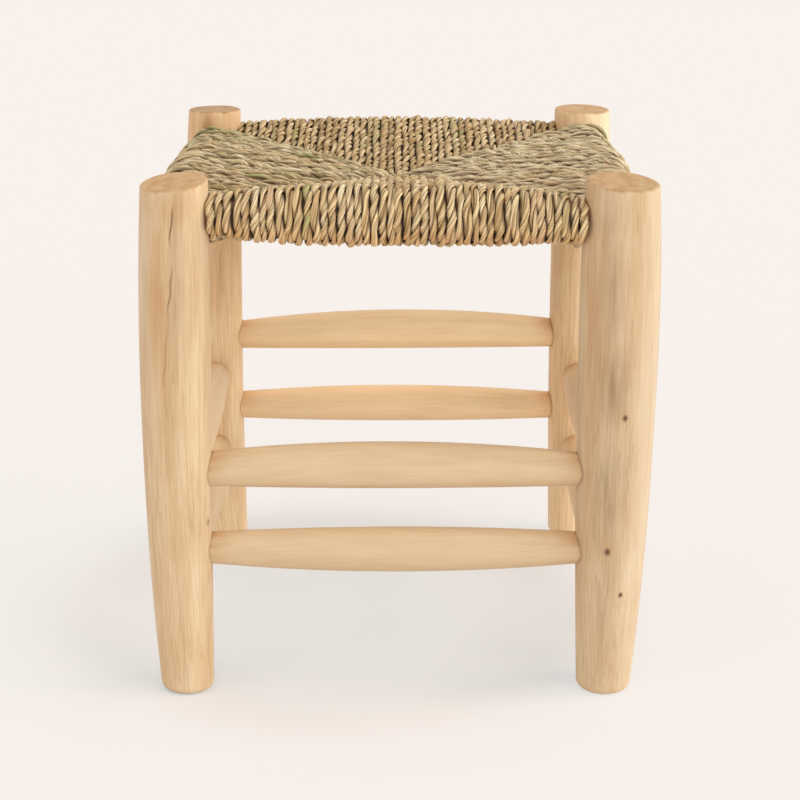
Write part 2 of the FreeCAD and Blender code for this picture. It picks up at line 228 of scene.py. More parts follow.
class Shader:
    """The nodes of a new material or world, with a short way to add and join them."""

    def __init__(self, owner, kind="Material"):
        self.owner = owner
        owner.use_nodes = True
        self.tree = owner.node_tree
        self.tree.nodes.clear()
        self.output = self.node("Output" + kind)

    def node(self, kind, settings=None, **inputs):
        """Add a node. An input is a number, a colour or another node's output, and is named by
        its label, or by _ and its number."""
        made = self.tree.nodes.new("ShaderNode" + kind)
        for name, value in (settings or {}).items():
            setattr(made, name, value)
        for name, value in inputs.items():
            socket = made.inputs[int(name[1:])] if name[0] == "_" else made.inputs[name.replace("_", " ")]
            if isinstance(value, bpy.types.NodeSocket):
                self.tree.links.new(value, socket)
            else:
                socket.default_value = value
        return made

    def value(self, name, output="Fac"):
        return self.node("Attribute", {"attribute_name": name}).outputs[output]

    def math(self, operation, first, second=0.0, third=0.0):
        return self.node("Math", {"operation": operation}, _0=first, _1=second, _2=third).outputs[0]

    def times(self, first, second):
        return self.math("MULTIPLY", first, second)

    def vector(self, operation, output, **inputs):
        return self.node("VectorMath", {"operation": operation}, **inputs).outputs[output]

    def seen(self):
        """1 for what a camera, a mirror or glass sees, 0 for other light."""
        rays = self.node("LightPath").outputs
        seen = self.math("MAXIMUM", rays["Is Camera Ray"], rays["Is Glossy Ray"])
        return self.math("MAXIMUM", seen, rays["Is Transmission Ray"])

    def remap(self, value, low, high, new_low, new_high):
        made = self.node("MapRange", Value=value, From_Min=low, From_Max=high,
                         To_Min=new_low, To_Max=new_high)
        return made.outputs["Result"]

    def noise(self, place, scales, seed, detail=2.0, roughness=0.5, distortion=0.0):
        """Noise with its own scales across and along a log or ply, in waves per millimetre."""
        across, along = scales
        scaled = self.vector("MULTIPLY", "Vector", _0=place, _1=(across, across, along))
        made = self.node("TexNoise", {"noise_dimensions": "4D"}, Vector=scaled, W=seed,
                         Scale=1.0, Detail=detail, Roughness=roughness, Distortion=distortion)
        return made.outputs["Fac"]

    def ramp(self, value, stops):
        made = self.node("ValToRGB", Fac=value)
        elements = made.color_ramp.elements
        for place, colour in stops[1:-1]:
            elements.new(place).color = colour
        elements[0].position, elements[0].color = stops[0]
        elements[-1].position, elements[-1].color = stops[-1]
        return made.outputs["Color"]

    def mix(self, share, first, second, blend="MIX"):
        settings = {"data_type": "RGBA", "blend_type": blend}
        return self.node("Mix", settings, _0=share, _6=first, _7=second).outputs[2]

    def tint(self, colour, by):
        return self.mix(1.0, colour, by, "MULTIPLY")

    def year_rings(self, place, wobble):
        """Year rings round the middle of a log's end, from 0 to 1."""
        flat = self.vector("MULTIPLY", "Vector", _0=place, _1=(1.0, 1.0, 0.0))
        away = self.vector("LENGTH", "Value", _0=flat)
        turn = self.math("MULTIPLY_ADD", wobble, YEAR_RING_WOBBLE, self.times(away, YEAR_RING_TURN))
        return self.math("MULTIPLY_ADD", self.math("SINE", turn), 0.5, 0.5)

    def bump(self, height, strength, distance):
        made = self.node("Bump", Height=height, Strength=strength, Distance=distance * MM)
        return made.outputs["Normal"]

    def show(self, made):
        """Make a node's result the surface, and give the finished material or world."""
        self.tree.links.new(made.outputs[0], self.output.inputs["Surface"])
        return self.owner


# Noises of the cord: scales across and along the ply.
LEAF_FIBRE = (0.95, 0.035)
LEAF_CLOUD = (0.3, 0.02)

# Tones of dried leaf, from shaded tan to bleached straw.
STRAW_STOPS = (
    (0.18, srgb(172, 140, 92)),
    (0.4, srgb(217, 187, 135)),
    (0.58, srgb(235, 209, 160)),
    (0.8, srgb(248, 229, 186)),
    (1.0, srgb(255, 241, 202)),
)


def cord_material():
    """Dried palm leaf: straw, tan, a little green and pink, with fibres along each ply, and painted shade
    in its creases, towards the gaps between cords and on the core.
    """
    shader = Shader(bpy.data.materials.new("palm_cord"))
    place = shader.value("place", "Vector")
    seed = shader.times(shader.value("seed"), SEED_REACH)
    fibre = shader.noise(place, LEAF_FIBRE, seed, detail=3.0, roughness=0.65)
    leaf = shader.noise(place, LEAF_CLOUD, seed, detail=1.0)
    straw = shader.ramp(shader.math("MULTIPLY_ADD", leaf, 0.8, shader.value("tone")), STRAW_STOPS)
    streak = shader.remap(fibre, 0.34, 0.62, 0.0, 1.0)
    fibred = shader.mix(streak, shader.tint(straw, srgb(184, 163, 136)), straw)
    fibred = shader.mix(shader.remap(fibre, 0.56, 0.72, 0.0, 0.5), fibred, srgb(250, 231, 190))
    green_share = shader.times(shader.value("green"), shader.remap(leaf, 0.3, 0.6, 0.3, 1.0))
    greened = shader.mix(green_share, fibred, srgb(156, 160, 92))
    blushed = shader.mix(shader.value("blush"), greened, srgb(226, 192, 152))
    tanned = shader.mix(shader.value("tip"), blushed, srgb(222, 172, 116))
    # Painted shade: the deep creases of a ply and the sides of a cord towards its neighbours are darkened.
    grooved = shader.mix(shader.times(shader.value("crease_and_gap_shade"), 0.78), tanned, srgb(92, 64, 36))
    # The core is coloured near black as painted shade inside the seat.
    shaded = shader.mix(shader.value("core_shade"), grooved, srgb(58, 40, 24))
    height = shader.math("MULTIPLY_ADD", leaf, 0.5, fibre)
    return shader.show(shader.node("BsdfPrincipled", Base_Color=shaded, Roughness=0.6,
                                   Specular_IOR_Level=0.35, Normal=shader.bump(height, 0.6, 0.6)))


# Noises of the wood: scales across and along the log.
WOOD_FIBRE = (0.8, 0.022)
WOOD_BAND = (0.12, 0.01)
WOOD_CLOUD = (0.05, 0.012)
WOOD_DASH = (1.1, 0.045)
WOOD_END = (0.1, 0.05)
WOOD_PATCH = (0.2, 0.014)

# Tones of the peeled wood and of its sawn end.
WOOD_MIDDLE_TONE = 0.48
WOOD_STOPS = (
    (0.32, srgb(205, 173, 134)),
    (WOOD_MIDDLE_TONE, srgb(217, 190, 153)),
    (0.64, srgb(227, 206, 172)),
)
END_STOPS = (
    (0.32, srgb(194, 148, 99)),
    (0.5, srgb(208, 165, 116)),
    (0.68, srgb(217, 181, 133)),
)

# Marks on the wood and their colours, in the order in which they lie on each other.
# The amber mark is also painted shade beside the sticks' joints, and the knot mark is also painted shade on
# the seat rails.
MARK_COLOURS = {
    "bleach": srgb(214, 197, 170),
    "amber_stain_and_shade": srgb(190, 140, 92),
    "olive": srgb(148, 118, 82),
    "knot_and_rail_shade": srgb(90, 50, 24),
}


def wood_material():
    """Peeled pale wood: fibres and bands along the log, end grain, checks, knots and stains, with painted
    shade at the joints and on the seat rails, and painted light through pale.
    """
    shader = Shader(bpy.data.materials.new("peeled_wood"))
    place = shader.value("place", "Vector")
    seed = shader.times(shader.value("seed"), SEED_REACH)
    grain = shader.value("grain")
    fibre = shader.noise(place, WOOD_FIBRE, seed, detail=4.0, roughness=0.6)
    band = shader.noise(place, WOOD_BAND, seed, detail=3.0, distortion=0.6)
    cloud = shader.noise(place, WOOD_CLOUD, seed)
    dash = shader.noise(place, WOOD_DASH, seed, detail=1.0)
    blotch = shader.math("MULTIPLY_ADD", band, 0.4, shader.times(cloud, 0.6))
    from_middle = shader.math("SUBTRACT", blotch, WOOD_MIDDLE_TONE)
    tone = shader.math("MULTIPLY_ADD", from_middle, grain, WOOD_MIDDLE_TONE)
    pale = shader.ramp(tone, WOOD_STOPS)
    streak = shader.times(grain, shader.remap(fibre, 0.38, 0.62, 1.0, 0.0))
    grained = shader.mix(streak, pale, shader.tint(pale, srgb(236, 227, 214)))
    dash_share = shader.times(shader.remap(dash, 0.6, 0.72, 0.0, 0.6),
                              shader.times(grain, shader.remap(band, 0.4, 0.6, 1.0, 0.2)))
    dashed = shader.mix(dash_share, grained, srgb(164, 122, 78))
    spread = shader.noise(place, WOOD_END, seed, detail=3.0)
    rings = shader.year_rings(place, spread)
    end_tone = shader.math("MULTIPLY_ADD", rings, 0.07, shader.times(spread, 0.93))
    colour = shader.mix(shader.value("end"), dashed, shader.ramp(end_tone, END_STOPS))
    patch = shader.remap(shader.noise(place, WOOD_PATCH, seed, detail=3.0), 0.35, 0.65, 0.45, 1.1)
    for kind, kind_colour in MARK_COLOURS.items():
        share = shader.value(kind)
        if kind != "knot_and_rail_shade":
            share = shader.times(share, patch)
        colour = shader.mix(share, colour, kind_colour)
    colour = shader.mix(shader.value("check"), colour, srgb(118, 76, 42))
    # pale scales the colour. On the sticks and the rear logs part of it is painted light.
    bright = shader.vector("SCALE", "Vector", _0=colour, Scale=shader.value("pale"))
    return shader.show(shader.node("BsdfPrincipled", Base_Color=bright, Roughness=0.58,
                                   Specular_IOR_Level=0.3, Normal=shader.bump(fibre, 0.16, 0.25)))


# Legs

LEG_SEGMENTS = 240
LEG_STEP = 1.7
LEG_LAST_STEP = 1.0
LEG_GRAIN = 0.85

# Seeds and noises, to which each leg adds its number, or its number times the step.
CHECK_SEED = 40
EDGE_SEED = 60
LEG_NOISE = 0.05
LEG_NOISE_STEP = 0.1

# Edges of foot and top, and the rings of their flat discs as shares of the radius.
FOOT_EDGE = 6.5
TOP_EDGE = 2.0
EDGE_STEPS = 5
DISC_SHARES = (0.94, 0.84, 0.72, 0.6, 0.48, 0.36, 0.24, 0.12, 0.03)
EDGE_WAVES = ((1.0, 0.5), (2.2, 0.45), (4.7, 0.35))

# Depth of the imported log's sawn end, and the share of the log that tilts with it.
CROWN_DEPTH = 8.5
TILT_SHARE = 0.15

# Hand-shaved surface: count and size of waves round the log, how they wind and change along it.
LOG_WAVES = ((2, 0.4), (3, 0.3), (4, 0.22), (6, 0.14), (9, 0.09), (13, 0.05))
LOG_WIND_LENGTH = 180
LOG_SWELL_SHARE = 0.5
LOG_SWELL_RATES = (0.01, 0.03)

# Depth and strays of a check, the lengths over which it starts and ends, and how a knot stands out.
CHECK_DEPTH = 1.1
CHECK_STRAYS = ((0.012, 1.0), (0.045, 0.4))
CHECK_START_LENGTH = 18
CHECK_END_LENGTH = 10
KNOT_RISE = 0.35
KNOT_SHARPNESS = 2.0

# Brightness of each log's peeled side and of its sawn top, and how much that top rises towards +X. The rear
# logs' peeled sides are brighter partly as painted light.
LEG_LOOKS = dict(zip(LEGS, (
    (0.97, 0.95, 0.07), (0.91, 0.87, -0.07), (1.14, 0.76, 0.0), (1.22, 0.93, -0.02))))

# Drying checks: first and last level, first and last angle from the front, width, depth of colour.
CHECKS = {
    "front_left_leg": (
        (372, 413, 1, 5, 0.6, 0.95), (318, 364, -6, 1, 0.5, 0.75), (262, 322, -12, -8, 0.42, 0.5),
        (405, 421, 31, 29, 0.4, 0.5), (120, 205, -27, -33, 0.4, 0.2), (40, 96, 3, -2, 0.35, 0.2)),
    "front_right_leg": (
        (180, 222, 0, 1, 0.4, 0.4), (150, 240, 14, 17, 0.35, 0.25), (60, 120, -12, -8, 0.35, 0.2),
        (202, 230, 20, 21, 0.3, 0.4), (188, 212, 25, 26, 0.3, 0.35), (226, 246, 10, 10, 0.3, 0.35),
        (168, 186, 8, 9, 0.3, 0.35), (212, 226, 5, 6, 0.3, 0.35), (176, 204, -28, -27, 0.3, 0.3),
        (282, 330, 12, 13, 0.3, 0.25), (340, 372, 24, 25, 0.3, 0.25)),
    "rear_left_leg": (
        (300, 352, 12, 8, 0.6, 0.35), (252, 300, 16, 19, 0.45, 0.45), (380, 412, -12, -11, 0.5, 0.3)),
    "rear_right_leg": ((240, 330, -22, -15, 0.45, 0.25),),
}

# Marks: level, angle from the front, half height, half width, depth of colour.
MARKS = {
    "front_left_leg": {
        "bleach": ((340, -58, 80, 12, 0.5),),
        "amber_stain_and_shade": (
            (330, -20, 80, 11, 0.62), (408, -6, 18, 20, 0.45), (225, -14, 70, 9, 0.35),
            (352, 22, 40, 14, 0.2), (110, -20, 70, 9, 0.25), (110, 0, 60, 8, 0.2)),
        "olive": ((350, -36, 70, 5, 0.1), (345, 9, 85, 9, 0.34)),
        "knot_and_rail_shade": ((150, 62, 3.2, 2.2, 0.5),),
    },
    "front_right_leg": {
        "bleach": ((210, 62, 230, 24, 0.6),),
        "amber_stain_and_shade": (
            (320, -50, 110, 13, 0.42), (190, -45, 70, 10, 0.12), (330, 15, 70, 9, 0.32),
            (330, 42, 60, 9, 0.2), (180, 25, 50, 10, 0.15), (132, -11, 11, 6, 0.5),
            (246, 7, 9, 6, 0.35)),
        "olive": (
            (335, -18, 42, 8, 0.6), (268, -12, 34, 13, 0.7), (176, -15, 44, 10, 0.7),
            (205, 12, 40, 7, 0.35), (118, -6, 30, 7, 0.4), (395, -24, 22, 7, 0.3),
            (70, -18, 40, 8, 0.3), (205, -26, 80, 8, 0.15), (150, -26, 26, 6, 0.1),
            (320, -26, 60, 7, 0.2)),
        "knot_and_rail_shade": (
            (243, 7, 2.3, 2.1, 1.0), (130, -11, 3.2, 2.4, 0.9), (92, 15.5, 2.2, 1.8, 1.0),
            (330, 150, 4.0, 3.0, 0.7)),
    },
    "rear_left_leg": {
        "amber_stain_and_shade": (
            (404, -10, 26, 13, 1.0), (408, -60, 26, 15, 0.7), (410, 42, 24, 15, 0.55),
            (300, 10, 70, 30, 0.4)),
        "olive": ((330, 140, 60, 10, 0.4),),
        "knot_and_rail_shade": ((210, -160, 4.5, 3.2, 0.7), (406, -10, 15, 5, 0.3)),
    },
    "rear_right_leg": {
        "bleach": ((300, 62, 160, 20, 0.5),),
        "amber_stain_and_shade": ((390, -58, 50, 16, 0.5),),
        "olive": ((200, 30, 70, 7, 0.15), (180, 170, 80, 9, 0.4)),
        "knot_and_rail_shade": ((270, 130, 3.6, 2.6, 0.7),),
    },
}


def log_surface(seed, angle, level):
    """Height of the hand-shaved surface over the plain round log, in millimetres."""
    dice = random.Random(seed)
    height = 0 * angle
    for count, size in LOG_WAVES:
        wind = dice.uniform(-1, 1) / LOG_WIND_LENGTH
        swell = LOG_SWELL_SHARE * np.sin(level * dice.uniform(*LOG_SWELL_RATES) + dice.uniform(0, math.tau))
        phase = dice.uniform(0, math.tau)
        height = height + size * (1 + swell) * np.cos(count * angle + wind * level + phase)
    return height


def arc_from(angle, degrees, radius):
    """Distance round the log from a place that is some degrees to the right of the front."""
    turn = angle - math.radians(degrees - 90)
    return (np.mod(turn + math.pi, math.tau) - math.pi) * radius


def check_marks(node, angle, level, radius, seed):
    """Strength of the drying checks at each point, 0 to 1."""
    marks = 0 * (angle + level)
    for number, (low, high, first, last, width, depth) in enumerate(CHECKS[node]):
        share = np.clip((level - low) / (high - low), 0, 1)
        stray = waves(seed + number, CHECK_STRAYS)(level)
        across = arc_from(angle, 0, radius) - (np.radians(first + (last - first) * share) * radius + stray)
        starts = np.clip((level - low) / CHECK_START_LENGTH, 0, 1)
        ends = np.clip((high - level) / CHECK_END_LENGTH, 0, 1)
        marks = np.maximum(marks, depth * starts * ends * fade(across, width))
    return marks


def spot_marks(node, kind, angle, level, radius):
    """Strength of one kind of mark at each point, 0 to 1."""
    sharpness = KNOT_SHARPNESS if kind == "knot_and_rail_shade" else 1.0
    marks = 0 * (angle + level)
    for place, degrees, half_height, half_width, depth in MARKS[node].get(kind, ()):
        across = arc_from(angle, degrees, radius) / half_width
        along = (level - place) / half_height
        marks = np.maximum(marks, depth * np.exp(-(across ** 2 + along ** 2) ** sharpness))
    return marks


def leg_stations(top):
    """Level, inset and share of the radius of each ring of a log, from the floor to the sawn top."""
    turns = [math.radians(90 * step / EDGE_STEPS) for step in range(EDGE_STEPS + 1)]
    levels = np.arange(FOOT_EDGE + LEG_STEP, top - TOP_EDGE - LEG_LAST_STEP, LEG_STEP)
    stations = [(0.0, FOOT_EDGE, share) for share in DISC_SHARES[::-1]]
    eased = [(1 - math.cos(turn), 1 - math.sin(turn)) for turn in turns]
    stations += [(FOOT_EDGE * rise, FOOT_EDGE * inset, 1.0) for rise, inset in eased]
    stations += [(level, 0.0, 1.0) for level in levels]
    stations += [(top - TOP_EDGE * drop, TOP_EDGE * inset, 1.0) for inset, drop in eased]
    stations += [(top, TOP_EDGE, share) for share in DISC_SHARES]
    return (np.array(column)[:, None] for column in zip(*stations))


def sawn_top(node):
    """Slopes of a log's sawn face, and the section at that face: its level, centre and radius."""
    points = corners_of(node)
    crown = points[points[:, 2] > points[:, 2].max() - CROWN_DEPTH]
    centre, _radius = circle_through(crown, 2)
    away = np.linalg.norm(crown[:, :2] - centre[:2], axis=1)
    cut = crown[away < away.mean()]
    slope_x, slope_y, rise = np.linalg.lstsq(np.c_[cut[:, :2], np.ones(len(cut))], cut[:, 2], rcond=None)[0]
    level = rise + slope_x * centre[0] + slope_y * centre[1]
    return slope_x, slope_y, (level, *circle_through(crown[away > away.mean()], 2))


def make_leg(node, material, number):
    slope_x, slope_y, last_section = sawn_top(node)
    levels, centres, radii = columns_of(rings_of(node, 2)[1:] + [last_section])
    centre_x = curve_through(levels, centres[:, 0], degree=3)
    centre_y = curve_through(levels, centres[:, 1], degree=1)
    radius_at = curve_through(levels, radii, degree=5)
    top = last_section[0]
    pale, end_pale, side_slope = LEG_LOOKS[node]

    level, inset, share = leg_stations(top)
    angle = circle_of_angles(LEG_SEGMENTS)
    full = radius_at(level)
    check = check_marks(node, angle, level, full, CHECK_SEED + number) * (share == 1)
    marks = {kind: spot_marks(node, kind, angle, level, full) * (share == 1) for kind in MARK_COLOURS}
    surface = log_surface(number, angle, level) - CHECK_DEPTH * check
    radius = (full + surface + KNOT_RISE * np.sin(marks["knot_and_rail_shade"] * math.pi) - inset) * share
    across_x, across_y = radius * np.cos(angle), radius * np.sin(angle)
    tilt = np.clip((level / top - (1 - TILT_SHARE)) / TILT_SHARE, 0, 1) ** 2
    rise = tilt * ((slope_x + side_slope) * across_x + slope_y * across_y)
    grid = np.stack([centre_x(level) + across_x, centre_y(level) + across_y, level + rise], axis=-1)
    ragged = waves(EDGE_SEED + number, EDGE_WAVES)(angle)
    on_edge = np.clip((level - top + TOP_EDGE + ragged) / TOP_EDGE, 0, 1) ** 2
    is_end = np.where(share < 1, 1.0, on_edge) + 0 * radius
    vectors = np.stack([across_x, across_y, level + 0 * angle], axis=-1)
    piece = Piece(node.replace("_leg", "_log"))
    piece.add_tube(grid, (0, 0, 1, 1), vectors, {
        "seed": LEG_NOISE_STEP * number + LEG_NOISE, "grain": LEG_GRAIN,
        "pale": pale + (end_pale - pale) * is_end, "end": is_end, "check": check, **marks})
    made = piece.build(material, node)


# Sticks: stretchers and seat rails

STICK_SEGMENTS = 72
STICK_STEP = 2.6
STICK_SEED = 500
STICK_NOISE = 0.52
STICK_NOISE_STEP = 0.07
STICK_GRAIN = 0.35

# Hand-shaved surface: count and size of waves round the stick, and how they wind along it.
STICK_WAVES = ((2, 0.4), (3, 0.28), (5, 0.16), (8, 0.1))
STICK_WIND_LENGTH = 60

# How far a stick runs into its legs, and the length of each end with a finer step.
STICK_SINK = 7.0
STICK_END_REACH = 18.0
STICK_END_STEP = 0.8

# The dark seam round a joint, and the amber painted shade beside it, part of it on the upper side only.
SEAM_WIDTH = 1.1
SEAM_DEPTH = 0.45
JOINT_SHADE = 0.66
JOINT_SHADE_REACH = 13.0
JOINT_UPPER_SHARE = 0.45

# Depth of painted shade on the rails, which show only in the shade between the cords.
RAIL_SHADE_DEPTH = 0.9

# Brightness of a side's sticks, and its rise on their top and, on the right, towards the middle. The rise
# and part of the rear sticks' brightness are painted light.
STICK_PALE = for_sides((0.915, 0.38, 0.0), (0.98, 0.3, 0.27), (1.24, 0.3, 0.0), (0.98, 0.3, 0.0))
TOP_PAINTED_LIGHT_POWER = 5


def leg_gap(leg, points):
    """Distance of points from a leg's surface, less than zero inside it."""
    levels, centres, radii = columns_of(rings_of(leg, 2)[1:-1])
    centre_x, centre_y, radius = (np.interp(points[..., 2], levels, column)
                                  for column in (centres[:, 0], centres[:, 1], radii))
    return np.hypot(points[..., 0] - centre_x, points[..., 1] - centre_y) - radius


def stick_places(start, finish):
    """Places along a stick, closer together near both ends."""
    return np.r_[np.arange(start, start + STICK_END_REACH, STICK_END_STEP),
                 np.arange(start + STICK_END_REACH, finish - STICK_END_REACH, STICK_STEP),
                 np.arange(finish, finish - STICK_END_REACH, -STICK_END_STEP)[::-1]][:, None]


def stick_surface(seed, angle, along):
    """Height of the hand-shaved surface over the plain round stick, in millimetres."""
    dice = random.Random(seed)
    height = 0 * angle
    for count, size in STICK_WAVES:
        wind = dice.uniform(-1, 1) / STICK_WIND_LENGTH
        height = height + size * np.cos(count * angle + wind * along + dice.uniform(0, math.tau))
    return height


def make_stick(node, material, number):
    side = node.split("_")[0]
    axis = axis_of(side)
    other = 1 - axis
    places, centres, radii = columns_of(rings_of(node, axis)[1:-1])
    centre_other = curve_through(places, centres[:, other], degree=1)
    centre_level = curve_through(places, centres[:, 2], degree=2)
    radius_at = curve_through(places, radii, degree=2)
    along = stick_places(places[0] - STICK_SINK, places[-1] + STICK_SINK)
    angle = circle_of_angles(STICK_SEGMENTS)
    radius = radius_at(along) + stick_surface(STICK_SEED + number, angle, along)
    outwards, upwards = radius * np.cos(angle), radius * np.sin(angle)
    grid = np.zeros((*radius.shape, 3))
    grid[:, :, axis] = along
    grid[:, :, other] = centre_other(along) + outwards * (1 if axis == 0 else -1)
    grid[:, :, 2] = centre_level(along) + upwards
    vectors = np.stack([outwards, upwards, along + 0 * angle], axis=-1)

    gap = np.min([leg_gap(leg, grid) for leg in LEGS], axis=0)
    upper = (1 - JOINT_UPPER_SHARE) + JOINT_UPPER_SHARE * np.sin(angle)
    # Painted light: the top of a stick, the inner side of the right sticks and the rear sticks are made
    # brighter.
    plain_pale, top_painted_light, inner_painted_light = STICK_PALE[side]
    pale = plain_pale * (1 + top_painted_light * np.maximum(np.sin(angle), 0) ** TOP_PAINTED_LIGHT_POWER
                         + inner_painted_light * np.maximum(np.cos(angle), 0))
    marks = dict.fromkeys(MARK_COLOURS, 0.0)
    # Painted shade: amber on the stick beside a leg, more on its upper side.
    marks["amber_stain_and_shade"] = JOINT_SHADE * fade(gap, JOINT_SHADE_REACH) * upper
    # The seat rails are darkened with the knot colour as painted shade.
    marks["knot_and_rail_shade"] = RAIL_SHADE_DEPTH if node.endswith("seat_rail") else 0.0
    piece = Piece(node.replace("_stretcher", "_stretcher_stick").replace("_rail", "_rail_stick"))
    piece.add_tube(grid, (0, 0, 1, 1), vectors, {
        "seed": STICK_NOISE_STEP * number + STICK_NOISE, "grain": STICK_GRAIN, "pale": pale + 0 * radius,
        "end": 0.0, "check": SEAM_DEPTH * fade(np.maximum(gap, 0), SEAM_WIDTH), **marks})
    made = piece.build(material, node)


# Woven seat

# Plain diameter of the cord, and its lay: the length of one full turn of its two plies.
CORD_DIAMETER = 6.4
CORD_LAY = 31.0

# Shortest and longest lay of a side's cords, as shares of the plain lay.
LAY_SHARES = for_sides((0.95, 1.6), (0.88, 1.2), (0.85, 1.15), (0.88, 1.2))

# Narrowest and widest place of a cord on its rail, and how far the cord fills its place.
CORD_WIDTH_SHARES = (0.84, 1.16)
CORD_FILL = 1.04

# A ply in shares of the cord's diameter: half its thickness and width, and how far its middle
# lies from the cord's.
PLY_RADIAL_SHARE = 0.275
PLY_TANGENT_SHARE = 0.32
PLY_OFFSET_SHARE = 0.25
PLY_SIDES = 16
PLY_STEP = 2.4

# Level of the seat's top and underside below the leg tops, in its middle and at its corners,
# the crown between them, and the level of the front rail.
SEAT_MIDDLE_DROP = 26.5
SEAT_CORNER_DROP = 16.5
UNDERSIDE_MIDDLE_DROP = 50.0
UNDERSIDE_CORNER_DROP = 55.0
SEAT_CROWN = 1.6
FRONT_RAIL_DROP = 25.5

# How deep a cord dives into the seam, the radius of its bend, and how far it stays off the seam.
SEAM_DIVE = 12.0
SEAM_BEND = 6.0
SEAM_PLAY = 0.4
HAIRPIN_STEP = 1.0

# How the cords of a side pile up: how far its shoulder rises and stands out all along, and
# how much more it rises beside the leg at its start and at its end.
PILES = for_sides((0.0, 0.6, -2.5, -5.0), (2.0, 2.8, -2.0, 9.5), (1.0, 0.0, 0.0, 0.0), (1.5, 2.2, 3.5, 1.0))
PILE_REACH = 34.0
SEAM_PILE_SHARE = 0.3

# How far the front cords sag all along and more at their end, and how far they rise at their start.
FRONT_SAG = 0.8
FRONT_FINISH_SAG = 2.6
FRONT_SAG_POWER = 4
FRONT_START_RISE = 3.0

# How far a field runs past the first and last section of its rail.
FIELD_OVERRUN = 1.6

# Seeds of a field's dice and of its cords' waves, which step on from side to side.
FIELD_SEED = 900
SWAY_SEED = 3000
LIFT_SEED = 5000
TURN_SEED = 7000
SIDE_SEED_STEP = 97

# Waves along a cord, count and size: sway along the rail, lift, stray of its turn, swell of a ply.
SWAYS = ((0.006, 0.5), (0.017, 0.35), (0.04, 0.2))
TIGHT_LIFTS = ((0.008, 0.4), (0.021, 0.35), (0.05, 0.2))
LOOSE_LIFTS = ((0.008, 1.1), (0.021, 0.8), (0.05, 0.3))
LIFTS = for_sides(TIGHT_LIFTS, LOOSE_LIFTS, TIGHT_LIFTS, LOOSE_LIFTS)
TURNS = ((0.01, 0.9), (0.024, 0.6))
SWELLS = ((0.02, 0.1), (0.05, 0.09))

# Creases of a ply: depth, count round it and turn per millimetre. The deep ones are darkened as painted
# shade.
CREASES = ((0.1, 3, 0.07), (0.09, 5, -0.05))
CREASE_PHASE = 6
CREASE_DEEP = 0.15
CREASE_DARKNESS = 0.8

# Depth below a cord's crest, as a share of its half diameter, at which painted shade starts to darken it
# towards the gap beside it, and over which it darkens fully.
GAP_SHARES = for_sides((0.34, 0.5), (0.16, 0.32), (0.25, 0.5), (0.13, 0.32))

# Tones of the cords, and how they spread from cord to cord and from ply to ply. The tone of a side is
# partly painted light, set to make up for how its field is lit.
SIDE_TONES = for_sides(0.22, 0.56, 0.1, 0.38)
CORD_TONE_SPREAD = 0.065
PLY_TONE_SPREAD = 0.09

# The front part of the right and left fields is darker and has more pink plies.
WARM_REACH = 0.4
WARM_SHADE = 0.22
WARM_BLUSH = 0.4
BLUSH_CHANCE = 0.07
BLUSH_DEPTHS = (0.2, 0.6)

# Green of all the cords of a side, and the chance, size and depth of a green patch.
SIDE_GREENS = for_sides(0.0, 0.04, 0.0, 0.08)
SIDE_GREEN_SHARES = (0.5, 1.5)
GREEN_CHANCE = for_sides(0.06, 0.2, 0.12, 0.35)
GREEN_PLACE_SHARE = 0.6
GREEN_LENGTHS = (20, 60)
GREEN_DEPTHS = (0.35, 0.85)

# The first cords of the left field are greener.
LEFT_GREEN_SHARE = 0.2
LEFT_GREEN_CHANCE = 0.7

# The tan of a cord where it turns under the rail.
TIP_DEPTH = 0.45
TIP_REACH = 9.0

# The core: its depth under the cords, sections, their corners, tone and place on the bake map.
CORE_SINK = 4.2
CORE_SECTIONS = 30
CORE_CORNERS = 40
CORE_TONE = 0.1
CORE_BOX = (0, 0.999, 0.001, 1)

# Widest path of a cord round its rail, and how far a ply fills its strip of the bake map.
WIDEST_WRAP = 30
STRIP_SHARE = 0.9

HALF_NAMES = for_sides(("left", "right"), ("front", "rear"), ("right", "left"), ("rear", "front"))

# Middles of rails and seat, half its depth, and the level of the leg tops.
FRONT, RIGHT, REAR, LEFT = (rail_middle(side) for side in SIDES)
MIDDLE = np.array([(LEFT[0] + RIGHT[0]) / 2, (FRONT[1] + REAR[1]) / 2, 0.0])
HALF = (REAR[1] - FRONT[1]) / 2
LEG_TOP = rail_rings("front")[2][1][2] + FRONT_RAIL_DROP
LONGEST_CORD = 2 * HALF + math.pi * WIDEST_WRAP


def run_between(first, last):
    """Points of a straight run, without its last point."""
    count = max(1, round(math.dist(first, last) / HAIRPIN_STEP))
    shares = np.arange(count)[:, None] / count
    return np.array(first) + (np.array(last) - np.array(first)) * shares


def arc_between(centre, radius, first_degrees, last_degrees):
    """Points of an arc, without its last point."""
    length = abs(math.radians(last_degrees - first_degrees)) * radius
    count = max(2, round(length / HAIRPIN_STEP))
    angles = np.radians(first_degrees + (last_degrees - first_degrees) * np.arange(count) / count)
    return np.array(centre) + radius * np.stack([np.cos(angles), np.sin(angles)], axis=-1)


def point_on(centre, radius, degrees):
    turn = math.radians(degrees)
    return centre[0] + radius * math.cos(turn), centre[1] + radius * math.sin(turn)


def tangent_degrees(point, centre, radius, up):
    """Direction from the centre to where a line from a point touches the circle."""
    across, rise = point[0] - centre[0], point[1] - centre[1]
    away = math.hypot(across, rise)
    turn = math.degrees(math.acos(min(1.0, radius / away)))
    return math.degrees(math.atan2(rise, across)) + (turn if up else -turn)


